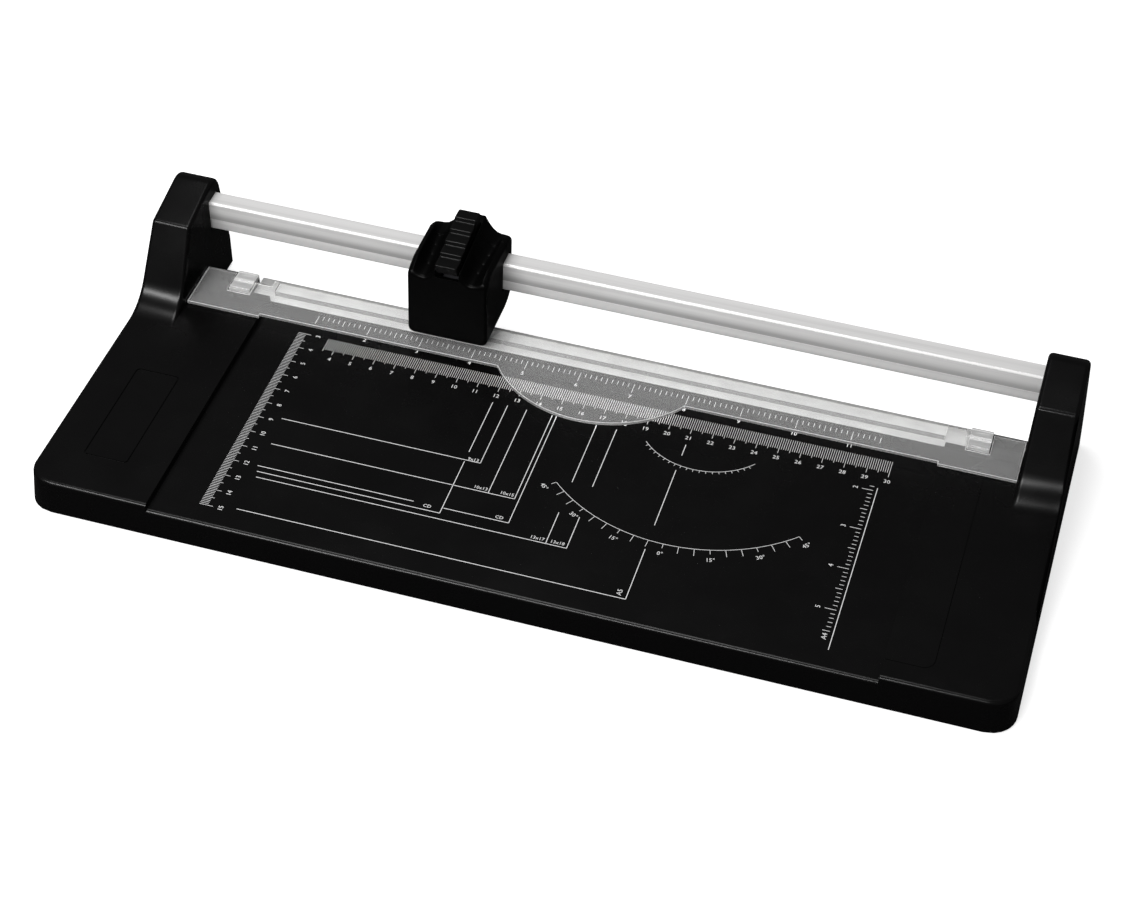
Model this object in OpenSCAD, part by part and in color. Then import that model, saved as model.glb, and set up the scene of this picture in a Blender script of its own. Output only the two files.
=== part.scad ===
// Rotary paper trimmer. A moulded base with two towers carries an extruded rail.
// A head with a round blade slides on the rail, over a mat and a clear hinged strip.
// Lengths are millimetres. The origin is the centre of the footprint on the table,
// +X runs along the rail and +Y points away from the user. Most pieces are drawn
// from the cutting line, at the height of the printed deck.

/* [Base] */
// Length of the base at the table, along the rail
body_w = 435; // [425:1:450]
// Depth of the base from its front wall to the back of the towers
body_d = 187.5; // [180:0.5:200]
// Width of each raised side zone beside the printed deck
zone_w = 57.5; // [54:0.5:62]
// Height of the printed deck above the table
deck_h = 15; // [14:0.5:18]
// Rise of the side zones above the deck
zone_step = 3; // [2.6:0.1:3.2]
// Height that the rubber feet hold the moulding off the table
foot_proud = 1.5; // [1:0.5:2]
// Wall of the base moulding
base_wall = 2.5; // [2:0.1:2.8]
// Plan radius of the two front corners
corner_r = 12.5; // [9:0.5:13]
// Rounding of the top edges
edge_r = 2; // [1.2:0.2:2.4]
// Distance from the cutting line to the back of the towers
rear_reach = 25; // [24.5:0.5:27]
// Distance from the cutting line to the rear wall between the towers
back_y = 3; // [2.5:0.25:3.5]
// Diameter of a rubber foot
foot_d = 12.4; // [11:0.2:13]

/* [Towers] */
// Width of a tower at its foot
tower_w = 22.2; // [21.5:0.1:24]
// Distance from the cutting line to the foot of the sloping front face
tower_foot = 37; // [34:0.5:42]
// Radius that blends the front face into the side zone
tower_foot_r = 19; // [14:1:22]
// Distance from the cutting line to the bend at the top of the front face
tower_bend = 18; // [16:0.5:20]
// Height of the bend above the rail
bend_rise = 1.9; // [1.4:0.1:3]
// Height of the sharp crest above the rail, before it is rounded
crest_rise = 10; // [9.5:0.5:12]
// Rounding of the crest
crest_r = 9; // [6:0.5:10]

/* [Rail] */
// Distance from the cutting line to the front of the rail
rail_front = 4.4; // [4.2:0.1:5]
// Depth of the rail
rail_d = 9.7; // [9:0.1:10]
// Height of the rail
rail_h = 15.4; // [14.5:0.1:16]
// Height of the underside of the rail above the deck
rail_low = 21; // [20.5:0.25:22]
// Wall of the rail
rail_wall = 1.5; // [1.2:0.1:1.8]
// Length of rail held inside each tower
rail_grip = 9; // [8:0.5:10]

/* [Mat and strip] */
// Thickness of the cutting mat
mat_t = 2; // [1.6:0.1:2.2]
// Distance from the cutting line to the front edge of the mat
mat_front = 13.8; // [13:0.2:14.5]
// Length of mat beyond the deck at each end
mat_over = 10; // [9:0.5:11]
// Gap between the side zones and the clear strip
strip_gap = 0.4; // [0.35:0.05:0.5]
// Thickness of the clear strip
strip_t = 1.6; // [1.5:0.05:1.8]
// Distance from the cutting line to the front edge of the strip
strip_front = 28.5; // [27:0.5:31]
// Radius of the half-moon window
lobe_r = 52.7; // [48:0.5:56]
// Distance from the cutting line to the hinge axis of the strip
hinge_back = 7.5; // [7:0.25:8]
// Radius of the hinge stubs
stub_r = 0.8; // [0.7:0.05:0.85]

/* [Head] */
// Position of the head along the rail, from the middle
head_x = -71; // [-150:1:150]
// Width of the head
head_w = 38; // [37:0.5:41]
// Distance from the cutting line to the front of the head
head_front = 20.4; // [20:0.2:22]
// Distance from the cutting line to the back of the head
head_back = 20; // [20:0.2:22]
// Gap between the clear strip and the head
head_gap = 1.2; // [1.1:0.1:1.3]
// Wall of the head
head_wall = 1.8; // [1.6:0.1:2]
// Thickness of the head over the rail
roof_t = 5; // [4.8:0.1:6]
// Width of the press button
button_w = 10.4; // [10:0.1:11]
// Number of steps on the press button
button_steps = 5; // [3:1:7]
// Height of the button's front step above its lower edge
button_front_h = 5.5; // [5:0.25:7]
// Height of the button's rear step above its lower edge
button_rear_h = 11.5; // [9:0.5:13]
// Travel of the press button
press_travel = 3; // [2.5:0.1:3.2]

/* [Blade] */
// Radius of the round blade
blade_r = 14; // [13.4:0.1:14.1]
// Thickness of the blade
blade_t = 0.6; // [0.4:0.05:0.8]
// Height of the pressed blade above the mat
blade_float = 0.2; // [0.2:0.05:0.4]
// Radius of the axle
axle_r = 2; // [1.8:0.1:2.2]

/* [Hidden] */
$fn = 48;
cut = 1;              // overrun of every cut
seam = 0.05;          // least step between two stations of the base skin
run_gap = 0.4;        // running gap between pieces that slide past each other
fit_gap = 0.1;        // gap between pieces that locate each other
pin_gap = 0.05;       // radial gap of a screw or pin in its hole
quarter_turn = 90;
half_turn = 180;

// Frame of the cutting line
half_w = body_w / 2;
deck_w = body_w - zone_w * 2;
cut_y = body_d / 2 - rear_reach;
front_y = rear_reach - body_d;
floor_z = foot_proud - deck_h;
rail_top = rail_low + rail_h;
deck_x = deck_w / 2;
inner_x = half_w - tower_w;

// Base skin
side_draft_share = 0.0467;
front_draft_share = 0.074;
inner_draft_share = 0.024;
arc_step = 30;
front_arc_n = 3;
foot_arc_n = 6;
bend_arc_n = 3;
crest_arc_n = 6;
bend_more = 0.6;
bend_r = edge_r + bend_more;
hip_in = 0.5;
hip_h = 4;
crest_in = 7.7;
crest_back = rear_reach - crest_in;
corner_station_shares = [0.26, 0.4, 0.62, 1];
step_run = 0.3;

function unit(v) = v / norm(v);
function arc_at(a, b, c, r, n) =
    let (u = unit(a - b), v = unit(c - b), half = acos(u * v) / 2,
         m = b + unit(u + v) * (r / sin(half)),
         p = b + u * (r / tan(half)) - m,
         q = b + v * (r / tan(half)) - m,
         turn = acos(max(-1, min(1, unit(p) * unit(q)))),
         way = p.x * q.y - p.y * q.x > 0 ? 1 : -1)
    [for (i = [0:n]) let (t = way * turn * i / n)
        m + [p.x * cos(t) - p.y * sin(t), p.x * sin(t) + p.y * cos(t)]];

function zone_front(z) = front_y + (z - floor_z) * front_draft_share;
function front_part(z) = concat([[front_y, floor_z]],
    arc_at([front_y, floor_z], [zone_front(z), z], [-tower_foot, z], edge_r, front_arc_n));
bend_pt = [-tower_bend, rail_top + bend_rise];
crest_pt = [crest_back, rail_top + crest_rise];
hip_pt = [rear_reach - hip_in, hip_h];
foot_pt = [-tower_foot, zone_step];
tail_pt = [rear_reach, floor_z];
front_count = front_arc_n + 2;
tower_part = concat(
    arc_at([zone_front(zone_step), zone_step], foot_pt, bend_pt, tower_foot_r, foot_arc_n),
    arc_at(foot_pt, bend_pt, crest_pt, bend_r, bend_arc_n),
    arc_at(bend_pt, crest_pt, hip_pt, crest_r, crest_arc_n),
    [hip_pt, tail_pt]);
tower_profile = concat(front_part(zone_step), tower_part);
function flat_profile(z) = concat(front_part(z),
    [for (i = [0:len(tower_part) - 2]) [tower_part[i].x, z]], [tail_pt]);

// Inward normals of an open chain, with mitred corners
function edge_normal(a, b) = unit([b.y - a.y, a.x - b.x]);
function chain_normal(p, i) =
    let (last = len(p) - 1,
         n1 = edge_normal(p[max(i - 1, 0)], p[max(i, 1)]),
         n2 = edge_normal(p[min(i, last - 1)], p[min(i + 1, last)]))
    (n1 + n2) / (1 + n1 * n2);
// The front wall only drops, because the plan corner already draws it in
function base_inset(p, d) = [for (i = [0:len(p) - 1])
    let (n = chain_normal(p, i), low = i == 0 || i == len(p) - 1)
    p[i] + [i < front_count ? 0 : n.x, low ? 0 : n.y] * d];
// Only what stands above the side zone is rounded at a tower's inner edge
function tower_inset(p, d) = [for (i = [0:len(p) - 1])
    let (n = chain_normal(p, i), f = max(0, min(1, (p[i].y - zone_step) / edge_r)))
    i < front_count || i == len(p) - 1 ? p[i] : p[i] + n * (d * f)];
function corner_back(dx) = let (t = max(0, corner_r - dx)) corner_r - sqrt(pow(corner_r, 2) - pow(t, 2));
function outer_ring(p, dx, back) = [for (i = [0:len(p) - 1])
    [half_w - (p[i].y - floor_z) * side_draft_share - dx, p[i].x + (i < front_count ? back : 0), p[i].y]];
function inner_ring(p, dx) = [for (q = p)
    [inner_x + max(0, q.y - zone_step) * inner_draft_share + dx, q.x, q.y]];
function flat_ring(z, x) = [for (q = flat_profile(z)) [x, q.x, q.y]];
right_rings = concat(
    [for (t = [0:arc_step:quarter_turn]) let (dx = edge_r * (1 - cos(t)))
        outer_ring(base_inset(tower_profile, edge_r * (1 - sin(t))), dx, corner_back(dx))],
    [for (s = corner_station_shares) outer_ring(tower_profile, corner_r * s, corner_back(corner_r * s))],
    [for (t = [quarter_turn:-arc_step:0])
        inner_ring(tower_inset(tower_profile, edge_r * (1 - sin(t))), edge_r * (1 - cos(t)))],
    [flat_ring(zone_step, inner_x - seam), flat_ring(zone_step, deck_x + step_run), flat_ring(0, deck_x)]);
function mirrored(rings) = [for (k = [len(rings) - 1:-1:0]) [for (q = rings[k]) [-q.x, q.y, q.z]]];

// Closed skin through rings of equal length, each clockwise as seen from the first ring's end
module skin(rings) {
    n = len(rings[0]);
    m = len(rings);
    points = [for (ring = rings) for (q = ring) q];
    sides = [for (r = [0:m - 2]) for (i = [0:n - 1]) let (j = (i + 1) % n)
        for (face = [[r * n + i, r * n + n + i, r * n + n + j], [r * n + i, r * n + n + j, r * n + j]]) face];
    first = [for (i = [0:n - 1]) i];
    last = [for (i = [n - 1:-1:0]) (m - 1) * n + i];
    polyhedron(points, concat([first], sides, [last]));
}

module from_cut() { translate([0, cut_y, deck_h]) children(); }
module along_x(x, l) { translate([x, 0, 0]) rotate([90, 0, 90]) linear_extrude(l) children(); }
module block(a, b) { translate(a) cube(b - a); }
module rod_x(x, l, r) { translate([x, 0, 0]) rotate([0, 90, 0]) cylinder(h = l, r = r); }
module rod_y(y, l, r) { translate([0, y, 0]) rotate([-90, 0, 0]) cylinder(h = l, r = r); }
module both() { children(); mirror([1, 0, 0]) children(); }

// Ribbed underside
rib = 1.6;
row_n = 4;
deck_col_n = 8;
mat_wall = 3.6;
row_back = mat_front + mat_wall;
row_run = (-front_y - base_wall * 2 - row_back) / row_n;
pocket_front = front_y + base_wall * 2;
deck_run = (deck_w - rib * 2) / deck_col_n;
deck_ceiling = -base_wall;
zone_ceiling = zone_step - base_wall;
mat_ceiling = -mat_t - base_wall;
zone_out = half_w - base_wall - (zone_step - floor_z) * side_draft_share;
zone_in = deck_x + base_wall;
tower_skirt = 1.8;
tower_clear = inner_x - tower_skirt;
clip_x = deck_x + mat_over;
clip_w = 10;

// Storage compartment under the lid, in the right side zone
lid_w = 20.4;
lid_gap = 0.25;
lid_t = 2;
lid_corner_r = 5;
lid_margin = 12.1;
lid_rim = 3.4;
lid_front = front_y + lid_margin;
lid_back = -mat_front - lid_rim;
bin_wall = 2.6;
bin_floor = floor_z + base_wall;

module pockets(x0, x1, y0, y1, ceiling) {
    block([x0, y0, floor_z - cut], [x1, y1, ceiling]);
}

// The pocket behind a plan corner is cut off across it, so the wall there stays whole
pocket_bevel = max(rib, corner_r - base_wall * 3);
module corner_pocket(x0, x1, y0, y1, ceiling) {
    translate([0, 0, floor_z - cut]) linear_extrude(ceiling - floor_z + cut)
        polygon([[x0, y0], [x1 - pocket_bevel, y0], [x1, y0 + pocket_bevel], [x1, y1], [x0, y1]]);
}

module zone_pockets(x0) {
    mid = (x0 + zone_out) / 2;
    for (k = [0:row_n - 2], half = [0:1]) {
        a = half == 0 ? x0 : mid + rib / 2;
        b = half == 0 ? mid - rib / 2 : zone_out;
        y0 = pocket_front + k * row_run;
        if (k == 0 && half > 0) corner_pocket(a, b, y0, y0 + row_run - rib, zone_ceiling);
        else pockets(a, b, y0, y0 + row_run - rib, zone_ceiling);
    }
    pockets(x0, tower_clear, pocket_front + (row_n - 1) * row_run, -row_back - rib, zone_ceiling);
    pockets(clip_x + rib, tower_clear, -row_back, -rib * 2, zone_ceiling);
}

module deck_pockets() {
    for (c = [0:deck_col_n - 1]) {
        x0 = -deck_x + rib * 1.5 + c * deck_run;
        x1 = x0 + deck_run - rib;
        for (k = [0:row_n - 1])
            pockets(x0, x1, pocket_front + k * row_run, pocket_front + (k + 1) * row_run - rib, deck_ceiling);
        pockets(x0, x1, -row_back, back_y - base_wall, mat_ceiling);
    }
}

// Hollow of the right tower, open to the table
hollow_corners = [[-tower_foot, floor_z - cut], foot_pt, bend_pt, crest_pt, hip_pt,
                  [rear_reach, floor_z - cut]];
hollow_last = len(hollow_corners) - 1;
hollow_outline = [for (i = [0:hollow_last]) let (n = chain_normal(hollow_corners, i))
    hollow_corners[i] + [n.x, i % hollow_last == 0 ? 0 : n.y] * base_wall];
module tower_hollow() {
    outside = [for (q = hollow_outline) [half_w - base_wall - (q.y - floor_z) * side_draft_share, q.x, q.y]];
    inside = [for (q = hollow_outline)
        [inner_x + base_wall + (q.y - zone_step) * inner_draft_share, q.x, q.y]];
    skin([outside, inside]);
}

// Clamp that holds the rail's end, with its two screws
clamp_gap = 0.6;
clamp_x = inner_x + base_wall + clamp_gap;
clamp_w = 7.8;
clamp_h = 7;
clamp_low = rail_low - clamp_h;
clamp_front = -14;
clamp_pinch = 0.2;
clamp_screw_x = clamp_x + clamp_w / 2;
clamp_screw_in = 3.6;
clamp_screw_pitch = 7.6;
clamp_screw_y = clamp_front + clamp_screw_in;
clamp_screw_ys = [clamp_screw_y, clamp_screw_y + clamp_screw_pitch];
clamp_screw_r = 1.4;
clamp_screw_short = 3.5;
clamp_screw_top = rail_top - clamp_screw_short;
boss_in = 0.5;
boss_top = bend_pt.y - boss_in;
boss_back = 1.5;

module screw_boss() {
    block([inner_x + base_wall - rib, clamp_front, rail_low + clamp_pinch],
          [clamp_x + clamp_w + rib, boss_back, boss_top]);
}

// Feet
front_foot_in = 17.5;
rear_foot_in = [9.8, 10.5];
front_foot = [half_w - front_foot_in, front_y + front_foot_in];
rear_foot = [half_w, rear_reach] - rear_foot_in;
foot_seat = 1.2;
post_wall = 0.9;
post_r = foot_d / 2 + post_wall;
rear_post_wall = 0.4;
rear_post_r = foot_d / 2 + rear_post_wall;
module foot_posts() {
    translate([front_foot.x, front_foot.y, floor_z])
        cylinder(h = zone_ceiling - floor_z + rib / 2, r = post_r);
    translate([rear_foot.x, rear_foot.y, floor_z]) {
        cylinder(h = deck_h, r = rear_post_r);
        translate([0, -rib, 0]) cube([half_w - rear_foot.x - base_wall / 2 - edge_r / 2, rib * 2, deck_h]);
    }
}
module foot_at(side, p) {
    color("#1c1c1e") from_cut() translate([side * p.x, p.y, -deck_h]) {
        cylinder(h = foot_proud + foot_seat, r = foot_d / 2 - fit_gap);
    }
}

// Seats of the mat, the clips, the lid and the hinge stubs
zone_back = -0.9;
clip_back = -2;
stub_z = zone_step + strip_gap + strip_t / 2;
stub_gap = 0.1;
stub_in = 2.2;
clip_d = 13.5;
clip_leg_w = 6;
clip_leg_t = 1.6;
clip_leg_in = 1.2;
clip_leg_ys = [clip_back - clip_d + clip_leg_in, clip_back - clip_leg_in - clip_leg_t];
module rear_cuts() {
    high = rail_top;
    block([-inner_x, back_y, floor_z - cut], [inner_x, rear_reach + cut, high]);
    both() {
        block([clip_x, zone_back, floor_z - cut], [inner_x, rear_reach, high]);
        block([clip_x, clip_back, floor_z - cut], [clip_x + clip_w - edge_r, back_y + cut, high]);
    }
}
module mat_seat() {
    block([-clip_x, -mat_front, -mat_t], [clip_x, back_y + cut, zone_step + cut]);
}
module lid_outline(grow) {
    x1 = deck_x + lid_w + grow;
    y0 = lid_front - grow;
    r = lid_corner_r + grow;
    difference() {
        translate([deck_x - (grow > 0 ? cut : -fit_gap), y0])
            square([x1 - deck_x + (grow > 0 ? cut : -fit_gap), lid_back + grow - y0]);
        translate([x1 - r, y0]) difference() {
            translate([0, -cut]) square([r + cut, r + cut]);
            translate([0, r]) circle(r);
        }
    }
}
module lid_cuts() {
    translate([0, 0, zone_step - lid_t]) linear_extrude(lid_t + cut) lid_outline(lid_gap);
    block([zone_in, lid_front + bin_wall, bin_floor],
          [deck_x + lid_w - bin_wall, lid_back - bin_wall, zone_step]);
}
plaque_w = 20.7;
plaque_l = 60;
plaque_r = 2;
groove_w = 0.6;
groove_d = 0.5;
plaque_in = 23;
plaque_y = front_y + plaque_in;
module round_rect(w, l, r) {
    translate([0, -l / 2 + r]) { translate([-w / 2, 0]) square([w, l - r * 2]); }
    translate([-w / 2 + r, -l / 2]) square([w - r * 2, l]);
    for (sx = [-1, 1], sy = [-1, 1]) translate([sx * (w / 2 - r), sy * (l / 2 - r)]) circle(r);
}
module plaque_groove() {
    zone_mid = (deck_x + zone_out + base_wall) / 2;
    translate([-zone_mid, plaque_y + plaque_l / 2, zone_step - groove_d]) linear_extrude(groove_d + cut)
        difference() {
            round_rect(plaque_w, plaque_l, plaque_r);
            round_rect(plaque_w - groove_w * 2, plaque_l - groove_w * 2, plaque_r - groove_w);
        }
}

module base_shell() {
    color("#202022") from_cut() difference() {
        union() {
            difference() {
                skin(concat(right_rings, mirrored(right_rings)));
                deck_pockets();
                mirror([1, 0, 0]) zone_pockets(zone_in);
                zone_pockets(deck_x + lid_w + lid_gap + rib);
                both() tower_hollow();
            }
            both() { screw_boss(); foot_posts(); }
        }
        rear_cuts();
        mat_seat();
        lid_cuts();
        plaque_groove();
        both() {
            block([inner_x - cut, rail_front - fit_gap * 3, rail_low - fit_gap * 3],
                  [inner_x + base_wall * 2, rail_front + rail_d + fit_gap * 3, rail_top + fit_gap * 3]);
            translate([0, -hinge_back, stub_z]) rod_x(inner_x - cut, base_wall * 2, stub_r + stub_gap);
            for (y = clamp_screw_ys) translate([clamp_screw_x, y, rail_low - cut])
                cylinder(h = clamp_screw_top - rail_low + cut + fit_gap, r = clamp_screw_r + pin_gap);
            for (p = [front_foot, rear_foot]) translate([p.x, p.y, floor_z - cut])
                cylinder(h = foot_seat + cut, r = foot_d / 2);
            for (y = clip_leg_ys) translate([clip_x + clip_w / 2 - clip_leg_w / 2 - fit_gap, y - fit_gap, 0])
                translate([0, 0, -cut])
                    cube([clip_leg_w + fit_gap * 2, clip_leg_t + fit_gap * 2, zone_step + cut * 2]);
        }
    }
}

module cutting_mat() {
    bevel = mat_t / 4;
    color("#d8dad6") from_cut() along_x(-clip_x + fit_gap, clip_x * 2 - fit_gap * 2)
        polygon([[-mat_front + fit_gap, -mat_t], [-mat_front + fit_gap, -bevel], [-mat_front + bevel, 0],
                 [back_y - bevel, 0], [back_y, -bevel], [back_y, -mat_t]]);
}

// Section of the rail, with its stepped front
rail_step_h = 5.9;
rail_step_d = 1.3;
rail_nose = 0.8;
module rail_outline(grow) {
    y0 = rail_front - grow;
    y1 = rail_front + rail_d + grow;
    step_y = rail_front + rail_step_d - grow;
    step_z = rail_low + rail_step_h - grow;
    z0 = rail_low - grow;
    z1 = rail_top + grow;
    polygon([[step_y, z0], [step_y, step_z], [y0, step_z], [y0, z1 - rail_nose], [y0 + rail_nose, z1],
             [y1 - rail_nose, z1], [y1, z1 - rail_nose], [y1, z0]]);
}
module guide_rail() {
    web_z = rail_low + rail_step_h;
    front_in = rail_front + rail_wall;
    low_in = rail_front + rail_step_d + rail_wall;
    back_in = rail_front + rail_d - rail_wall;
    color("#c4c6c8") from_cut() along_x(-inner_x - rail_grip, (inner_x + rail_grip) * 2) difference() {
        rail_outline(0);
        translate([front_in, web_z + rail_wall])
            square([back_in - front_in, rail_top - web_z - rail_wall * 2]);
        translate([low_in, rail_low + rail_wall]) square([back_in - low_in, rail_step_h - rail_wall * 1.5]);
    }
}

module rail_clamp() {
    seat_h = 6;
    color("#3a3a3d") from_cut() difference() {
        union() {
            block([clamp_x, clamp_front, clamp_low],
                  [clamp_x + clamp_w, rail_front + rail_d + rib, rail_low]);
            block([clamp_x, rail_front + rail_d + fit_gap, rail_low - rib],
                  [clamp_x + clamp_w, rail_front + rail_d + fit_gap + rib, rail_low + seat_h]);
        }
        for (y = clamp_screw_ys) translate([clamp_screw_x, y, clamp_low - cut])
            cylinder(h = rail_low - clamp_low + cut * 2, r = clamp_screw_r + fit_gap);
        block([clamp_x + rib, rail_front, clamp_low - cut],
              [clamp_x + clamp_w - rib, rail_front + rail_d - rib, clamp_low + seat_h - rib]);
    }
}
module rail_clamp_left() { mirror([1, 0, 0]) rail_clamp(); }
module rail_clamp_right() { rail_clamp(); }

screw_head_share = 2;
module screw(r, l, head_h) {
    head_r = r * screw_head_share;
    difference() {
        union() {
            cylinder(h = l, r = r);
            translate([0, 0, -head_h]) cylinder(h = head_h, r = head_r);
        }
        for (a = [0, 90]) rotate([0, 0, a]) translate([0, 0, -head_h - cut])
            translate([-head_r * 0.7, -r * 0.2, 0]) cube([head_r * 1.4, r * 0.4, cut + head_h / 2]);
    }
}
module clamp_screws() {
    head_h = 2;
    color("#8d9094") from_cut() both()
        for (y = clamp_screw_ys) translate([clamp_screw_x, y, clamp_low])
            screw(clamp_screw_r, clamp_screw_top - clamp_low, head_h);
}

// Clear strip with its half-moon window, clamping bar and hinge stubs
strip_low = zone_step + strip_gap;
strip_top = strip_low + strip_t;
end_step = 1.7;
end_back = 3.7;
strip_back = 5;
strip_end_gap = 0.5;
strip_step_in = 0.5;
strip_step_x = deck_x - strip_step_in;
strip_end = inner_x - strip_end_gap;
lobe_back = 0.5;
band_left_over = 1.5;
band_right_over = 8.5;
band_left = -deck_x - band_left_over;
band_right = deck_x + band_right_over;
notch_back = 7.6;
bar_front = 10;
bar_back = 1.2;
bar_low = 0.4;
bar_in = 0.6;
bar_x = deck_x - bar_in;
notch_gap = 0.5;
notch_more = 3;
notch_front = clip_d + notch_more;
module strip_plan() {
    difference() {
        union() {
            translate([-strip_end, -strip_front]) square([strip_end * 2, strip_front - strip_back]);
            both() translate([strip_step_x, -strip_front - end_step])
                square([strip_end - strip_step_x, strip_front + end_step - end_back]);
            intersection() {
                translate([0, lobe_back]) circle(r = lobe_r, $fn = 96);
                translate([-lobe_r, -lobe_r]) square([lobe_r * 2, lobe_r - strip_front + strip_t]);
            }
        }
        both() translate([clip_x - notch_gap, -notch_front]) square([clip_w + notch_gap * 2, notch_front]);
        translate([-clip_x - notch_gap, -notch_back]) square([band_left + clip_x + notch_gap, notch_back]);
        translate([band_right, -notch_back]) square([clip_x - band_right, notch_back]);
    }
}
module pressure_strip() {
    color([0.86, 0.9, 0.92, 0.45]) from_cut() {
        translate([0, 0, strip_low]) linear_extrude(strip_t) strip_plan();
        along_x(-bar_x, bar_x * 2)
            polygon([[-bar_front, strip_low + seam], [-bar_front, bar_low], [-bar_back, bar_low],
                     [-strip_back + seam, strip_low + strip_t - seam],
                     [-bar_front, strip_low + strip_t - seam]]);
        both() translate([0, -hinge_back, stub_z]) {
            rod_x(clip_x - notch_gap - edge_r, clip_w + (notch_gap + edge_r) * 2, stub_r);
            rod_x(strip_end - edge_r, edge_r + strip_end_gap + stub_in, stub_r);
        }
    }
}

// Clip that holds the strip's hinge down, with ridges and two legs
clip_t = 2.2;
clip_ridge = 0.45;
clip_ridge_w = 1.2;
module strip_clip() {
    x0 = clip_x;
    y0 = clip_back - clip_d;
    color([0.86, 0.9, 0.92, 0.45]) from_cut() difference() {
        union() {
            block([x0, y0, zone_step], [x0 + clip_w, clip_back, zone_step + clip_t]);
            for (y = [-notch_back - clip_ridge_w, y0 + clip_ridge_w])
                block([x0, y, zone_step + clip_t - clip_ridge],
                      [x0 + clip_w, y + clip_ridge_w, zone_step + clip_t + clip_ridge]);
            for (y = clip_leg_ys)
                block([x0 + clip_w / 2 - clip_leg_w / 2, y, -cut / 2],
                      [x0 + clip_w / 2 + clip_leg_w / 2, y + clip_leg_t, zone_step + clip_ridge]);
        }
        translate([0, -hinge_back, stub_z]) rod_x(x0 - cut, clip_w + cut * 2, stub_r + stub_gap);
        block([x0 - cut, -hinge_back - stub_r - stub_gap, zone_step - cut],
              [x0 + clip_w + cut, -hinge_back + stub_r + stub_gap, stub_z]);
    }
}
module strip_clip_left() { mirror([1, 0, 0]) strip_clip(); }
module strip_clip_right() { strip_clip(); }

module storage_lid() {
    rim_t = 1.2;
    rim_h = 3;
    x0 = zone_in + fit_gap * 2;
    x1 = deck_x + lid_w - bin_wall - fit_gap * 2;
    y0 = lid_front + bin_wall + fit_gap * 2;
    y1 = lid_back - bin_wall - fit_gap * 2;
    under = zone_step - lid_t;
    color("#222224") from_cut() {
        translate([0, 0, under]) linear_extrude(lid_t) lid_outline(0);
        difference() {
            block([x0, y0, under - rim_h], [x1, y1, under]);
            block([x0 + rim_t, y0 + rim_t, under - rim_h - cut], [x1 - rim_t, y1 - rim_t, under + cut / 2]);
        }
    }
}

module foot_front_left() { foot_at(-1, front_foot); }
module foot_front_right() { foot_at(1, front_foot); }
module foot_rear_left() { foot_at(-1, rear_foot); }
module foot_rear_right() { foot_at(1, rear_foot); }

// Head skin, drawn from the middle of the head
head_half = head_w / 2;
head_low = strip_top + head_gap;
trough = rail_top + run_gap + roof_t;
head_d = head_front + head_back;
lip_front_h = 0.2;
lip_rise = 3.7;
lip_hold_share = 1.8;
dip_front_h = -1.4;
dip_back_h = 1.2;
dip_front_share = 0.58;
dip_back_share = 0.74;
rim_front_h = 4;
rim_back_h = 9.8;
rim_w = 0.9;
rim_x = button_w / 2 + rim_w;
shoulder_r = 2.6;
base_edge_r = 3;
tail_r = 12;
nose_r = 1.6;
back_r = 3;
head_arc_n = 3;
scoop_n = 4;
head_nose_share = 0.12;
head_tail_shares = [0.8, 0.87];
// Finger grooves across the two scoops
grip_n = 4;
grip_d = 0.5;
grip_first_share = 0.24;
grip_step_share = 0.16;
grip_half_share = 0.02;
head_stations = concat([[head_nose_share, 0]],
    [for (k = [0:grip_n - 1]) let (s = grip_first_share + k * grip_step_share)
        for (e = [-1, 0, 1]) [s + e * grip_half_share, e == 0 ? grip_d : 0]],
    [for (s = head_tail_shares) [s, 0]]);
function head_u(y) = (y + head_front) / head_d;
function lip_z(y) = trough + lip_front_h + lip_rise * min(1, lip_hold_share * sin(half_turn * head_u(y)));
function dip_z(y) = trough + dip_front_h + (dip_back_h - dip_front_h) * head_u(y);
function dip_x(y) = head_half * (dip_front_share + (dip_back_share - dip_front_share) * head_u(y));
function rim_z(y) = trough + rim_front_h + (rim_back_h - rim_front_h) * head_u(y);
function tail_z(y) = let (t = max(0, y - head_back + tail_r))
    head_low + tail_r - sqrt(pow(tail_r, 2) - pow(t, 2));
// Right half of a section from the rim down to the bottom edge
function scoop(dip, edge, groove, s) = dip + (edge - dip) * s * s - groove * (1 - s);
function half_section(y, groove) =
    let (lip = lip_z(y), dip = dip_z(y), dx = dip_x(y), lx = head_half - shoulder_r, low = tail_z(y))
    concat(
        [for (i = [0:scoop_n]) let (s = 1 - i / scoop_n)
            [dx + (rim_x - dx) * s, scoop(dip, rim_z(y), groove, s)]],
        [for (i = [1:scoop_n - 1]) let (s = i / scoop_n)
            [dx + (lx - dx) * s, scoop(dip, lip, groove, s)]],
        arc_at([lx - shoulder_r, lip], [head_half, lip], [head_half, low], shoulder_r, head_arc_n),
        arc_at([head_half, lip], [head_half, low], [0, low], base_edge_r, head_arc_n));
function section(y, groove) = let (h = half_section(y, groove))
    concat([for (k = [len(h) - 1:-1:0]) [-h[k].x, h[k].y]], h);
function loop_inset(p, d) = let (n = len(p)) [for (i = [0:n - 1])
    let (n1 = edge_normal(p[(i + n - 1) % n], p[i]), n2 = edge_normal(p[i], p[(i + 1) % n]))
    p[i] + (n1 + n2) / (1 + n1 * n2) * d];
function head_ring(y, d, groove = 0) = [for (q = loop_inset(section(y, groove), d)) [q.x, y, q.y]];
head_rings = concat(
    [for (t = [0:arc_step:quarter_turn])
        head_ring(nose_r * (1 - cos(t)) - head_front, nose_r * (1 - sin(t)))],
    [for (s = head_stations) head_ring(head_d * s[0] - head_front, 0, s[1])],
    [for (t = [quarter_turn:-arc_step:0])
        head_ring(head_back - back_r * (1 - cos(t)), back_r * (1 - sin(t)))]);

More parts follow.
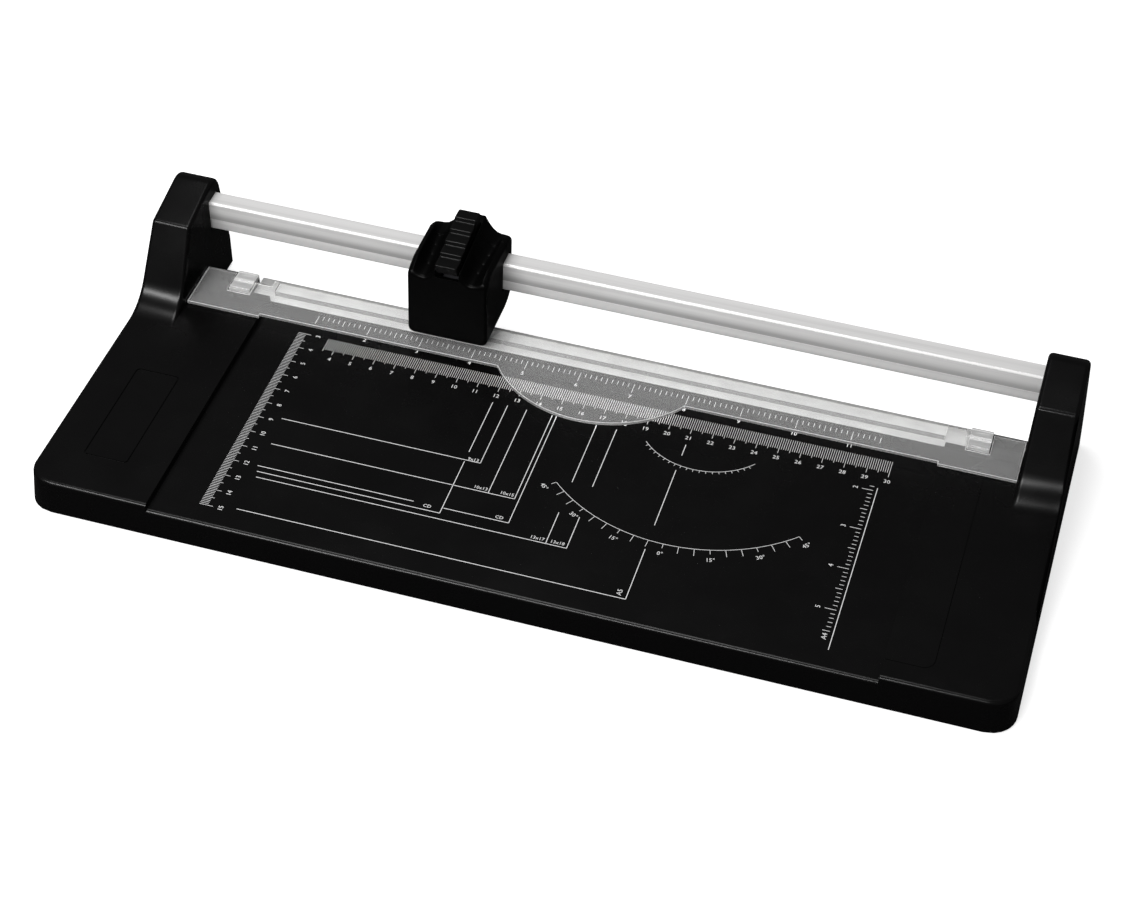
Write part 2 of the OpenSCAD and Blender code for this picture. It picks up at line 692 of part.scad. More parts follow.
split_y = rail_front + rail_d / 2;
cave_x = head_half - head_wall;
cave_low = head_low + head_wall;
chan_front = rail_front - run_gap;
chan_back = rail_front + rail_d + run_gap;
chan_low = rail_low - run_gap;
chan_top = rail_top + run_gap;
shoe_w = 4.1;
shoe_t = 1.1;
shoe_gap = 0.2;
shoe_in = cave_x - shoe_w - fit_gap;
cave_back = 1.4;
tail_wall = 9;
under_back = head_back - tail_wall;
slot_x = button_w / 2 + fit_gap * 3;
slot_wall = 6.6;
slot_back = head_back - slot_wall;
axle_z = blade_r + press_travel + blade_float;
blade_tuck = 1;
blade_slot_x = blade_r - blade_tuck;
blade_slot_y = 1;
spring_x = blade_r + fit_gap * 3;
spring_y = -5;
spring_seat_h = 3;
spring_pin_r = 1.2;
head_screw_r = 1.1;
head_screw_l = 12;
head_screw_head = 1.6;
head_screw_land = 1;
low_screw_in = [2, 6.8];
top_screw_out = [3.8, 2.1];
head_screw_seat = chan_back + head_screw_land;
head_screw_spots = [[cave_x - low_screw_in.x, head_low + low_screw_in.y],
                    [button_w / 2 + top_screw_out.x, chan_top + top_screw_out.y]];

module in_head() { from_cut() translate([head_x, 0, 0]) children(); }
module head_hollow() {
    // Room for the carrier and the blade
    block([-cave_x, -head_front + head_wall, cave_low], [cave_x, cave_back, chan_top]);
    block([-shoe_in, -head_front + head_wall, cave_low], [shoe_in, under_back, chan_low - head_wall]);
    block([-shoe_in, -head_front + head_wall, cave_low], [shoe_in, chan_front + cut, chan_top]);
    // Channel for the rail
    block([-head_half - cut, chan_front, chan_low], [head_half + cut, chan_back, chan_top]);
    // Seats of the two glide shoes
    both() block([shoe_in, chan_front - shoe_t, chan_low - shoe_t],
                 [cave_x, chan_back + shoe_t, chan_top + shoe_t]);
    // Slot for the press button and slot for the blade
    block([-slot_x, -head_front - cut, trough], [slot_x, slot_back, trough + button_rear_h + cut]);
    block([-slot_x, -head_front + head_wall, cave_low], [slot_x, chan_front, trough + cut]);
    block([-blade_slot_x, -blade_slot_y, head_low - cut], [blade_slot_x, blade_slot_y, cave_low + cut]);
}
module head_holes() {
    both() for (p = head_screw_spots) translate([p.x, 0, p.y]) {
        rod_y(head_screw_seat - head_screw_l - fit_gap, head_screw_l + fit_gap + cut, head_screw_r + pin_gap);
        rod_y(head_screw_seat, head_back, head_screw_r * screw_head_share + fit_gap * 2);
    }
}
module head_front_shell() {
    color("#1d1d1f") in_head() difference() {
        union() {
            difference() {
                skin(head_rings);
                head_hollow();
            }
            both() block([spring_x - spring_pin_r * 2, spring_y - spring_pin_r * 2, head_low + head_wall / 2],
                         [cave_x + head_wall / 2, spring_y + spring_pin_r * 2, cave_low + spring_seat_h]);
        }
        head_holes();
        both() translate([spring_x, spring_y, head_low + head_wall / 2 + fit_gap])
            cylinder(h = spring_seat_h + head_wall, r = spring_pin_r + pin_gap);
        block([-head_w, split_y, 0], [head_w, head_back + cut, trough * 2]);
    }
}
module head_rear_shell() {
    color("#1d1d1f") in_head() difference() {
        skin(head_rings);
        head_hollow();
        head_holes();
        block([-head_w, -head_front - cut, 0], [head_w, split_y, trough * 2]);
    }
}
module head_screws() {
    color("#8d9094") in_head() both() for (p = head_screw_spots)
        translate([p.x, head_screw_seat, p.y]) rotate([90, 0, 0])
            screw(head_screw_r, head_screw_l, head_screw_head);
}
module glide_shoe() {
    color("#e2dfd6") along_x(shoe_in + fit_gap, shoe_w) difference() {
        translate([chan_front - shoe_t, chan_low - shoe_t])
            square([chan_back - chan_front + shoe_t * 2, chan_top - chan_low + shoe_t * 2]);
        rail_outline(shoe_gap);
    }
}
module glide_shoe_left() { in_head() mirror([1, 0, 0]) glide_shoe(); }
module glide_shoe_right() { in_head() glide_shoe(); }

// Carrier of the blade, which slides on the two spring pins
carrier_low = cave_low + press_travel + run_gap;
carrier_over = 0.8;
ear_drop = 6;
carrier_top = axle_z + blade_r + carrier_over;
ear_low = carrier_top - ear_drop;
ear_h = 3.5;
carrier_front = -9;
carrier_gap = 1.3;
carrier_back = -blade_t / 2 - carrier_gap;
stem_wall = 0.8;
stem_x = button_w / 2 - stem_wall;
stem_front = -12;
stem_back = chan_front - stem_wall;
button_low = trough + press_travel + blade_float;
stem_lock = 2.5;
pin_over = 1.5;
pin_top = ear_low + ear_h + pin_over;
boss_r = 4.5;
boss_over = 0.3;
module blade_carrier() {
    color("#5a5c60") in_head() difference() {
        union() {
            block([-spring_x + spring_pin_r * 2, carrier_front, carrier_low],
                  [spring_x - spring_pin_r * 2, carrier_back, carrier_top]);
            block([-cave_x + run_gap, carrier_front + rib / 2, ear_low],
                  [cave_x - run_gap, carrier_back, ear_low + ear_h]);
            block([-stem_x, stem_front, carrier_top - rib], [stem_x, carrier_back, button_low + stem_lock]);
            block([-stem_x, carrier_back - rib, carrier_top], [stem_x, stem_back, button_low + stem_lock]);
            translate([0, 0, axle_z]) rod_y(carrier_back - rib, rib + boss_over, boss_r);
        }
        both() translate([spring_x, spring_y, ear_low - cut])
            cylinder(h = ear_h + cut * 2, r = spring_pin_r + fit_gap);
        translate([0, 0, axle_z]) rod_y(carrier_front - cut, cut * 2 - carrier_front, axle_r + pin_gap);
    }
}

nose_over = 2.1;
nose_tuck = 2;
button_back = slot_back - run_gap;
button_edge_r = 0.9;
tread_round_share = 0.8;
button_draft_share = 0.6;
tread_slope = 0.3;
step_d = (button_back + head_front + nose_over) / button_steps;
step_rise = (button_rear_h - button_front_h) / (button_steps - 1);
button_profile = concat(
    [[-head_front - nose_over + nose_tuck, button_low]],
    [for (k = [0:button_steps - 1]) for (e = [0, 1])
        [-head_front - nose_over + step_d * (k + e)
             + (e == 0 && k > 0 ? button_edge_r * tread_round_share : 0),
         button_low + button_front_h + step_rise * k + (e == 0 ? 0 : -tread_slope)]],
    [[button_back, button_low]]);
button_rings = concat(
    [for (t = [0:arc_step:quarter_turn])
        [for (q = loop_inset(button_profile, button_edge_r * button_draft_share * (1 - sin(t))))
            [button_w / 2 - button_edge_r * (1 - cos(t)), q.x, q.y]]]);
module press_button() {
    color("#1b1b1d") in_head() difference() {
        skin(concat(button_rings, mirrored(button_rings)));
        block([-stem_x - fit_gap, stem_front - fit_gap, button_low - cut],
              [stem_x + fit_gap, stem_back + fit_gap, button_low + stem_lock + fit_gap]);
    }
}

// Blade on its bush, axle and retaining clip
bush_gap = 0.05;
bush_wall = 2;
flange_wall = 3.4;
blade_bore_r = axle_r + bush_wall;
bush_flange_r = axle_r + flange_wall;
bush_flange_t = 0.9;
bush_out = 0.6;
bevel_w = 1.2;
edge_t = 0.1;
clip_ring_t = 0.7;
clip_ring_gap = 0.15;
clip_ring_y = blade_t / 2 + bush_out + clip_ring_gap;
clip_groove_d = 0.5;
clip_groove_r = axle_r - clip_groove_d;
clip_mouth_share = 1.6;
axle_tip = 0.6;
axle_head_t = 1;
axle_head_over = 1.2;
module spin() { in_head() translate([0, 0, axle_z]) rotate([-90, 0, 0]) children(); }
module rotary_blade() {
    color("#d5d8da") spin() rotate_extrude($fn = 96)
        polygon([[blade_bore_r, -blade_t / 2], [blade_r - bevel_w, -blade_t / 2], [blade_r, -edge_t / 2],
                 [blade_r, edge_t / 2], [blade_r - bevel_w, blade_t / 2], [blade_bore_r, blade_t / 2]]);
}
module blade_bush() {
    flange_y = -blade_t / 2 - seam - bush_flange_t;
    flange_top = flange_y + bush_flange_t;
    inner = axle_r + bush_gap;
    outer = blade_bore_r - bush_gap;
    tip = blade_t / 2 + bush_out;
    color("#d8d2c0") spin() rotate_extrude()
        polygon([[inner, flange_y], [bush_flange_r, flange_y], [bush_flange_r, flange_top],
                 [outer, flange_top], [outer, tip], [inner, tip]]);
}
module blade_axle() {
    head_y = carrier_front - axle_head_t;
    head_r = axle_r + axle_head_over;
    groove_y = clip_ring_y - pin_gap;
    groove_end = clip_ring_y + clip_ring_t + pin_gap;
    tip = clip_ring_y + clip_ring_t + axle_tip;
    color("#a9acb0") spin() rotate_extrude()
        polygon([[0, head_y], [head_r, head_y], [head_r, carrier_front], [axle_r, carrier_front],
                 [axle_r, groove_y], [clip_groove_r, groove_y], [clip_groove_r, groove_end],
                 [axle_r, groove_end], [axle_r, tip - edge_t], [axle_r - edge_t, tip], [0, tip]]);
}
module blade_clip() {
    color("#7f8388") spin() translate([0, 0, clip_ring_y]) difference() {
        cylinder(h = clip_ring_t, r = blade_bore_r - run_gap);
        translate([0, 0, -cut]) cylinder(h = clip_ring_t + cut * 2, r = clip_groove_r + pin_gap);
        translate([-clip_groove_r * clip_mouth_share / 2, 0, -cut])
            cube([clip_groove_r * clip_mouth_share, blade_bore_r, clip_ring_t + cut * 2]);
    }
}

// Spring pins and their coil springs
module spring_pin(side) {
    color("#b4b7ba") in_head() translate([side * spring_x, spring_y, head_low + head_wall / 2 + fit_gap])
        cylinder(h = pin_top - head_low - head_wall / 2 - fit_gap, r = spring_pin_r);
}
module spring_pin_left() { spring_pin(-1); }
module spring_pin_right() { spring_pin(1); }
wire_r = 0.3;
coil_r = 1.95;
coil_turns = 6;
coil_steps = 10;
wire_sides = 6;
coil_low = cave_low + spring_seat_h + wire_r + pin_gap;
coil_high = ear_low - wire_r - pin_gap;
coil_rings = [for (k = [0:coil_turns * coil_steps])
    let (a = k * 2 * half_turn / coil_steps,
         z = coil_low + (coil_high - coil_low) * k / (coil_turns * coil_steps))
    [for (i = [0:wire_sides - 1]) let (b = -i * 2 * half_turn / wire_sides, r = coil_r + wire_r * cos(b))
        [r * cos(a), r * sin(a), z + wire_r * sin(b)]]];
module return_spring(side) {
    color("#9b9ea2") in_head() translate([side * spring_x, spring_y, 0]) skin(coil_rings);
}
module return_spring_left() { return_spring(-1); }
module return_spring_right() { return_spring(1); }

base_shell();
cutting_mat();
guide_rail();
rail_clamp_left();
rail_clamp_right();
clamp_screws();
pressure_strip();
strip_clip_left();
strip_clip_right();
storage_lid();
foot_front_left();
foot_front_right();
foot_rear_left();
foot_rear_right();
head_front_shell();
head_rear_shell();
head_screws();
glide_shoe_left();
glide_shoe_right();
spring_pin_left();
spring_pin_right();
return_spring_left();
return_spring_right();
press_button();
blade_carrier();
blade_axle();
blade_clip();
rotary_blade();
blade_bush();
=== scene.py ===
import math

import bmesh
import bpy
from mathutils import Matrix, Vector


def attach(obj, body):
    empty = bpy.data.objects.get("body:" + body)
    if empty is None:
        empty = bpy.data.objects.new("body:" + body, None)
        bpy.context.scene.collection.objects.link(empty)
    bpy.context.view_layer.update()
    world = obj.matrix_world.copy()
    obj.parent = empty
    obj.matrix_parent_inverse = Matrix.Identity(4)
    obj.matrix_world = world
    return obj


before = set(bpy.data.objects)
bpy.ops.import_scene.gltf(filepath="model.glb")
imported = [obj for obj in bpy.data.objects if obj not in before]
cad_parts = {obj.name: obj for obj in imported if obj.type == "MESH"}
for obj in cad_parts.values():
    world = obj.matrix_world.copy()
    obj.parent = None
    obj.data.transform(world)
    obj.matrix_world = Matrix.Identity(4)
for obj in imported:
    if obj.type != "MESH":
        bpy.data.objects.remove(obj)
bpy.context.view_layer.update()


# Base: one injection moulding in black ABS, with a printed deck between two raised
# side zones and two towers that carry the rail. Its skin is satin, with a very fine
# moulded grain and a few specks of dust.
def shader_group(name, takes, gives):
    group = bpy.data.node_groups.new(name, "ShaderNodeTree")
    for label, kind, start in takes:
        socket = group.interface.new_socket(label, in_out="INPUT", socket_type="NodeSocket" + kind)
        socket.default_value = start
    for label, kind in gives:
        group.interface.new_socket(label, in_out="OUTPUT", socket_type="NodeSocket" + kind)
    return group, group.nodes.new("NodeGroupInput"), group.nodes.new("NodeGroupOutput")


# A value is a plain one, or a node and the name of its output.
def feed(tree, value, target, socket):
    if isinstance(value, tuple) and isinstance(value[0], bpy.types.Node):
        tree.links.new(value[0].outputs[value[1]], target.inputs[socket])
    else:
        target.inputs[socket].default_value = value


def feed_all(tree, made, sockets):
    for label, value in sockets.items():
        feed(tree, value, made, label.replace("_", " "))
    return made


def node(tree, kind, **sockets):
    return feed_all(tree, tree.nodes.new(kind), sockets)


def on_piece(tree):
    return tree.nodes.new("ShaderNodeTexCoord"), "Object"


def noise(tree, scale, detail, place=None):
    made = node(tree, "ShaderNodeTexNoise", Scale=scale, Detail=detail, Vector=place or on_piece(tree))
    return made, "Fac"


def ramp(tree, source, low, high, first=0, last=1):
    made = node(tree, "ShaderNodeMapRange", Value=source, From_Min=low, From_Max=high,
                To_Min=first, To_Max=last)
    return made, "Result"


def reckon(tree, operation, first, second):
    made = tree.nodes.new("ShaderNodeMath")
    made.operation = operation
    feed(tree, first, made, 0)
    feed(tree, second, made, 1)
    return made, "Value"


# A Mix node's plain values bear the same names, so its colours go by number.
colour_one, colour_two, colour_out = 6, 7, 2


def colour_mix(tree, share, first, second, blend="MIX"):
    made = tree.nodes.new("ShaderNodeMix")
    made.data_type, made.blend_type = "RGBA", blend
    feed(tree, share, made, "Factor")
    feed(tree, first, made, colour_one)
    feed(tree, second, made, colour_two)
    return made, colour_out


def moulded_grain_group():
    group, takes, gives = shader_group(
        "moulded_grain",
        [("Colour", "Color", (0.01, 0.01, 0.01, 1)), ("Dust Colour", "Color", (0.2, 0.2, 0.2, 1)),
         ("Dust", "Float", 0.02), ("Gloss Low", "Float", 0.3), ("Gloss High", "Float", 0.45)],
        [("Colour", "Color"), ("Roughness", "Float"), ("Height", "Float")])
    cloud, specks, grain = noise(group, 38, 4), noise(group, 1500, 2), noise(group, 3200, 2)
    dusty = reckon(group, "MULTIPLY", ramp(group, specks, 0.66, 0.74), ramp(group, cloud, 0.42, 0.7, 0.1))
    amount = reckon(group, "MULTIPLY", dusty, (takes, "Dust"))
    colour = colour_mix(group, amount, (takes, "Colour"), (takes, "Dust Colour"))
    gloss = ramp(group, cloud, 0.3, 0.7, (takes, "Gloss Low"), (takes, "Gloss High"))
    feed_all(group, gives, {"Colour": colour, "Roughness": gloss, "Height": grain})
    return group


moulded_grain = moulded_grain_group()


def effect(tree, group, **sockets):
    made = tree.nodes.new("ShaderNodeGroup")
    made.node_tree = group
    return feed_all(tree, made, sockets)


def finish(name, **sockets):
    made = bpy.data.materials.new(name)
    made.use_nodes = True
    shader = made.node_tree.nodes["Principled BSDF"]
    feed_all(made.node_tree, shader, sockets)
    return made, made.node_tree, shader


def bump(tree, height, shader, depth, strength):
    made = node(tree, "ShaderNodeBump", Distance=depth, Strength=strength, Height=height)
    feed(tree, (made, "Normal"), shader, "Normal")


def moulded(name, colour, dust_colour, dust, gloss, grain_depth, **sockets):
    made, tree, shader = finish(name, **sockets)
    grain = effect(tree, moulded_grain, Colour=(*colour, 1), Dust_Colour=(*dust_colour, 1), Dust=dust,
                   Gloss_Low=gloss[0], Gloss_High=gloss[1])
    feed(tree, (grain, "Colour"), shader, "Base Color")
    feed(tree, (grain, "Roughness"), shader, "Roughness")
    bump(tree, (grain, "Height"), shader, grain_depth, 0.35)
    return made


def soft_edges(name):
    group = bpy.data.node_groups.new(name, "GeometryNodeTree")
    for label, way, kind in (("Geometry", "INPUT", "Geometry"), ("Crease", "INPUT", "Float"),
                             ("Geometry", "OUTPUT", "Geometry")):
        group.interface.new_socket(label, in_out=way, socket_type="NodeSocket" + kind)
    takes, gives = group.nodes.new("NodeGroupInput"), group.nodes.new("NodeGroupOutput")
    weld = node(group, "GeometryNodeMergeByDistance", Geometry=(takes, "Geometry"), Distance=2e-6)
    plain = node(group, "GeometryNodeRemoveAttribute", Geometry=(weld, "Geometry"), Name="custom_normal")
    faces = node(group, "GeometryNodeSetShadeSmooth", Geometry=(plain, "Geometry"))
    angle = group.nodes.new("GeometryNodeInputMeshEdgeAngle")
    gentle = group.nodes.new("FunctionNodeCompare")
    gentle.operation = "LESS_THAN"
    feed(group, (angle, "Unsigned Angle"), gentle, "A")
    feed(group, (takes, "Crease"), gentle, "B")
    edges = node(group, "GeometryNodeSetShadeSmooth", Geometry=(faces, "Geometry"),
                 Shade_Smooth=(gentle, "Result"))
    edges.domain = "EDGE"
    feed(group, (edges, "Geometry"), gives, "Geometry")
    return group


smooth_skin = soft_edges("smooth_skin")
crease_socket = smooth_skin.interface.items_tree["Crease"].identifier


def dress(name, material, crease=33, edge=0.0, edge_from=50, edge_finish=None):
    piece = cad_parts[name]
    piece.data.materials.clear()
    piece.data.materials.append(material)
    skin = piece.modifiers.new("skin", "NODES")
    skin.node_group = smooth_skin
    skin[crease_socket] = math.radians(crease)
    if edge:
        round_edge = piece.modifiers.new("round_edge", "BEVEL")
        round_edge.width = edge
        round_edge.segments = 2
        round_edge.limit_method = "ANGLE"
        round_edge.angle_limit = math.radians(edge_from)
        round_edge.use_clamp_overlap = False
        if edge_finish:
            piece.data.materials.append(edge_finish)
            round_edge.material = 1
    flat_faces = piece.modifiers.new("flat_faces", "WEIGHTED_NORMAL")
    flat_faces.keep_sharp = True


grey_dust = (0.02, 0.02, 0.02)
satin_gloss = (0.23, 0.3)
base_black = moulded("base_black", (0.0016, 0.0015, 0.0016), grey_dust, 0.2, satin_gloss, 0.000012,
                     Specular_IOR_Level=0.3)
dress("base_shell", base_black, crease=38)


# Storage lid: a thin snap-in cover in the right side zone, moulded in the same black
# ABS from another tool, so its grain lies a little otherwise.
lid_black = moulded("lid_black", (0.0017, 0.0016, 0.0017), grey_dust, 0.25, satin_gloss, 0.000014,
                    Specular_IOR_Level=0.3)
dress("storage_lid", lid_black)


# Rulers: pale ink screen-printed on the black deck. A centimetre ruler runs along the
# cutting line, a second one down the left edge and an inch ruler down the right. A
# second inch ruler lies under the clear strip. The places are in mm from the print's corner.
deck_z = 0.015
cut_line_y = 0.06875
print_origin_x = -0.160
ink_t = 0.00006
ink_w = 0.00023
cm_mark_w = 0.00021
side_mark_w = 0.0002
digit_h = 0.0022
digit_share = 0.7
cm_row, cm_figures = 30, 43.4
side_row, side_figures = 20, 29.8
inch_row, inch_figures = 295.4, 287.6
strip_row, strip_figures = 16.8, 25.6
tenth_mm = 2.54
inch_mm = 25.4
sideways = math.radians(90)


def fine_marks_group():
    group, takes, gives = shader_group(
        "fine_marks",
        [("Scale", "Float", 900), ("Detail", "Float", 3), ("Low", "Float", 0.3), ("High", "Float", 0.7),
         ("Dark", "Color", (0.4, 0.4, 0.4, 1)), ("Light", "Color", (0.6, 0.6, 0.6, 1)),
         ("Gloss Low", "Float", 0.25), ("Gloss High", "Float", 0.45)],
        [("Colour", "Color"), ("Roughness", "Float"), ("Height", "Float")])
    marks = noise(group, (takes, "Scale"), (takes, "Detail"))
    low, high = (takes, "Low"), (takes, "High")
    colour = colour_mix(group, ramp(group, marks, low, high), (takes, "Dark"), (takes, "Light"))
    gloss = ramp(group, marks, low, high, (takes, "Gloss Low"), (takes, "Gloss High"))
    feed_all(group, gives, {"Colour": colour, "Roughness": gloss, "Height": marks})
    return group


fine_marks = fine_marks_group()
ink_pale, ink_tree, ink_shader = finish("ink_pale", Roughness=0.55)
ink_marks = effect(ink_tree, fine_marks, Scale=900, Detail=3, Low=0.35, High=0.6,
                   Dark=(0.74, 0.74, 0.74, 1), Light=(0.92, 0.92, 0.92, 1))
feed(ink_tree, (ink_marks, "Colour"), ink_shader, "Base Color")
bump(ink_tree, (ink_marks, "Height"), ink_shader, 0.00001, 0.3)


def on_deck(x_mm, back_mm):
    return Vector((print_origin_x + x_mm / 1000, cut_line_y - back_mm / 1000, deck_z))


def ink_bar(mesh, a, b, width=ink_w):
    along = (b - a).normalized()
    aside = Vector((-along.y, along.x, 0)) * (width / 2)
    lift = Vector((0, 0, ink_t))
    low = [mesh.verts.new(p) for p in (a - aside, b - aside, b + aside, a + aside)]
    top = [mesh.verts.new(v.co + lift) for v in low]
    mesh.faces.new(low[::-1])
    mesh.faces.new(top)
    for k in range(4):
        mesh.faces.new((low[k], low[(k + 1) % 4], top[(k + 1) % 4], top[k]))


def ink_digits(mesh, words, at, height=digit_h, turn=0.0):
    curve = bpy.data.curves.new("digits", "FONT")
    curve.body = words
    curve.size = height / digit_share
    curve.extrude = ink_t / 2
    curve.resolution_u = 2
    curve.align_x = "CENTER"
    curve.align_y = "CENTER"
    lettering = bpy.data.objects.new("digits", curve)
    flat = bpy.data.meshes.new_from_object(lettering)
    flat.transform(Matrix.Translation(at + Vector((0, 0, ink_t / 2))) @ Matrix.Rotation(turn, 4, "Z"))
    mesh.from_mesh(flat)
    bpy.data.objects.remove(lettering)
    bpy.data.curves.remove(curve)
    bpy.data.meshes.remove(flat)


def mark_end(count, ten, five, one):
    return ten if count % 10 == 0 else five if count % 5 == 0 else one


def printed(name, mesh, body):
    data = bpy.data.meshes.new(name)
    mesh.to_mesh(data)
    mesh.free()
    data.materials.append(ink_pale)
    piece = bpy.data.objects.new(name, data)
    bpy.context.scene.collection.objects.link(piece)
    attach(piece, body)


rulers = bmesh.new()
for mm in range(35, 301):
    ink_bar(rulers, on_deck(mm, cm_row), on_deck(mm, mark_end(mm, 40.3, 38.6, 37.5)), cm_mark_w)
for cm in range(4, 31):
    ink_digits(rulers, str(cm), on_deck(cm * 10, cm_figures))
for mm in range(30, 151):
    ink_bar(rulers, on_deck(side_row, mm), on_deck(mark_end(mm, 26.2, 25, 23.8), mm), side_mark_w)
for cm in range(3, 16):
    ink_digits(rulers, str(cm), on_deck(side_figures, cm * 10), turn=sideways)
for tenth in range(19, 56):
    down = tenth * tenth_mm
    ink_bar(rulers, on_deck(mark_end(tenth, 290.4, 292.2, 293.4), down), on_deck(inch_row, down))
for inch in range(2, 6):
    ink_digits(rulers, str(inch), on_deck(inch_figures, inch * inch_mm), turn=sideways)
for tenth in range(10, 116):
    across = tenth * tenth_mm
    ink_bar(rulers, on_deck(across, strip_row), on_deck(across, mark_end(tenth, 22.6, 20.6, 19.4)))
for inch in range(2, 12):
    ink_digits(rulers, str(inch), on_deck(inch * inch_mm, strip_figures))
printed("ruler_print", rulers, "base")


# Paper sizes: corner marks for the usual photo and paper formats, screen-printed on the
# deck with the rulers, each with its size in plain figures.
formats = bmesh.new()
line_top = 48
line_w = 0.00034
size_digit_h = 0.0018
for down, start, end in ((88, 34, 127), (105, 35.5, 148), (120, 35, 107), (120, 120.6, 150),
                         (123.5, 36, 120), (127, 37, 178), (148.2, 36.4, 210)):
    ink_bar(formats, on_deck(start, down), on_deck(end, down), line_w)
for across, start, end in ((127, line_top, 88), (136, line_top, 105), (148, line_top, 105),
                           (120, line_top, 82.6), (120, 89.1, 123.5), (150, line_top, 120),
                           (168.7, line_top, 87), (168.7, 107, 127), (178, line_top, 87),
                           (178, 107, 127), (210, line_top, 55.3), (210, 65.3, 101.7),
                           (210, 117, 148.2), (297, 48.7, 150)):
    ink_bar(formats, on_deck(across, start), on_deck(across, end), line_w)
for words, x_mm, back_mm in (("9x13", 123.4, 86.8), ("10x13", 132, 103), ("10x15", 144, 103),
                             ("CD", 113.5, 121), ("CD", 145.2, 118), ("13x17", 164.4, 125),
                             ("13x18", 173.4, 125)):
    ink_digits(formats, words, on_deck(x_mm, back_mm), size_digit_h)
for words, x_mm, back_mm in (("A5", 206.6, 145), ("A4", 293.8, 143)):
    ink_digits(formats, words, on_deck(x_mm, back_mm), turn=sideways)
printed("format_print", formats, "base")


# Angle scale: two arcs with degree marks for laying paper at an angle to the cut,
# screen-printed on the deck in the same pale ink. Each arc is a chain of short bars that
# overlap a little.
angles = bmesh.new()
large_mid, large_r = (216.6, 34.7), 76.9
small_mid, small_r = (217.1, 30.1), 32.4
large_bar, small_bar = 1.02, 2.05
mark_r, long_mark_r, small_mark_r, degree_r = 81, 79.4, 33.8, 83
degree_h = 0.0021


def arc_point(mid, radius, degrees):
    turn = math.radians(degrees)
    return on_deck(mid[0] + radius * math.sin(turn), mid[1] + radius * math.cos(turn))


for degrees in range(-45, 45):
    ink_bar(angles, arc_point(large_mid, large_r, degrees),
            arc_point(large_mid, large_r, degrees + large_bar))
for degrees in range(-49, 50, 2):
    ink_bar(angles, arc_point(small_mid, small_r, degrees),
            arc_point(small_mid, small_r, degrees + small_bar))
for degrees in range(-45, 46, 5):
    reach = long_mark_r if degrees % 15 == 0 else mark_r
    ink_bar(angles, arc_point(large_mid, large_r, degrees), arc_point(large_mid, reach, degrees))
    ink_bar(angles, arc_point(small_mid, small_r, degrees), arc_point(small_mid, small_mark_r, degrees))
    if degrees % 15 == 0:
        ink_digits(angles, str(abs(degrees)) + "\u00b0", arc_point(large_mid, degree_r, degrees), degree_h,
                   math.radians(degrees))
printed("angle_print", angles, "base")


# Cutting mat: a milky plastic strip let into the deck under the blade's path, with the
# score that the round blade has worn along it. It mirrors only faintly in what is near.
mirror_dim = 0.8


def mirror_ray(tree, rays):
    return reckon(tree, "MULTIPLY", (rays, "Is Glossy Ray"), (rays, "Is Reflection Ray"))


def blend_shader(tree, share, shader, other):
    made = node(tree, "ShaderNodeMixShader", Fac=share)
    feed(tree, (shader, "BSDF"), made, 1)
    feed(tree, (other, "BSDF"), made, 2)
    feed(tree, (made, "Shader"), tree.nodes["Material Output"], "Surface")


def faint_in_gloss(tree, shader, share):
    mirrored = mirror_ray(tree, tree.nodes.new("ShaderNodeLightPath"))
    dark = node(tree, "ShaderNodeBsdfDiffuse", Color=(0, 0, 0, 1))
    blend_shader(tree, reckon(tree, "MULTIPLY", mirrored, share), shader, dark)


def drawn(tree, stretch):
    made = node(tree, "ShaderNodeMapping", Vector=on_piece(tree), Scale=(stretch, 1, 1))
    return made, "Vector"


mat_milky, mat_tree, mat_shader = finish("mat_milky", Subsurface_Weight=0.15, Subsurface_Scale=0.001,
                                         Subsurface_Radius=(1, 1, 1), IOR=1.46)
mat_cloud = effect(mat_tree, fine_marks, Scale=60, Detail=5, Dark=(0.39, 0.39, 0.387, 1),
                   Light=(0.48, 0.48, 0.476, 1), Gloss_Low=0.35, Gloss_High=0.5)
feed(mat_tree, (mat_cloud, "Colour"), mat_shader, "Base Color")
feed(mat_tree, (mat_cloud, "Roughness"), mat_shader, "Roughness")
bump(mat_tree, noise(mat_tree, 1200, 2, drawn(mat_tree, 0.02)), mat_shader, 0.00006, 0.4)
faint_in_gloss(mat_tree, mat_shader, mirror_dim)
dress("cutting_mat", mat_milky)


# Guide rail: a hollow aluminium extrusion with a stepped front, drawn lines along its
# length and a clear satin anodised skin. Its colour also carries painted sheen set by height,
# foot to top: a painted dull foot, a painted bright step line, a front painted brighter upwards and a
# painted white chamfer.
painted_sheen_steps = ((0, 0.6), (0.1, 0.85), (0.37, 0.98), (0.385, 0.98), (0.39, 1.0), (0.415, 1.0),
               (0.42, 0.50), (0.52, 0.56), (0.66, 0.8), (0.80, 0.98), (0.94, 0.92), (0.965, 0.8),
               (0.97, 0.95), (0.995, 0.95), (1, 0.93))
rail_silver, rail_tree, rail_shader = finish("rail_silver", Metallic=0.12)
rail_draw = drawn(rail_tree, 0.006)
rail_lines = noise(rail_tree, 2600, 4, rail_draw)
rail_bands = noise(rail_tree, 420, 1, rail_draw)
rail_marks = reckon(rail_tree, "ADD", ramp(rail_tree, rail_lines, 0.3, 0.7, 0, 0.3),
                    ramp(rail_tree, rail_bands, 0.35, 0.65, 0, 0.7))
rail_tone = colour_mix(rail_tree, rail_marks, (0.84, 0.833, 0.828, 1), (1.0, 0.993, 0.988, 1))
rail_heights = [v.co.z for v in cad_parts["guide_rail"].data.vertices]
rail_point = node(rail_tree, "ShaderNodeSeparateXYZ", Vector=on_piece(rail_tree))
rail_up = ramp(rail_tree, (rail_point, "Z"), min(rail_heights), max(rail_heights))
# Painted sheen: a colour ramp by height, multiplied into the rail's colour as painted highlight and painted
# shade.
rail_painted_sheen = node(rail_tree, "ShaderNodeValToRGB", Fac=rail_up)
stops = rail_painted_sheen.color_ramp.elements
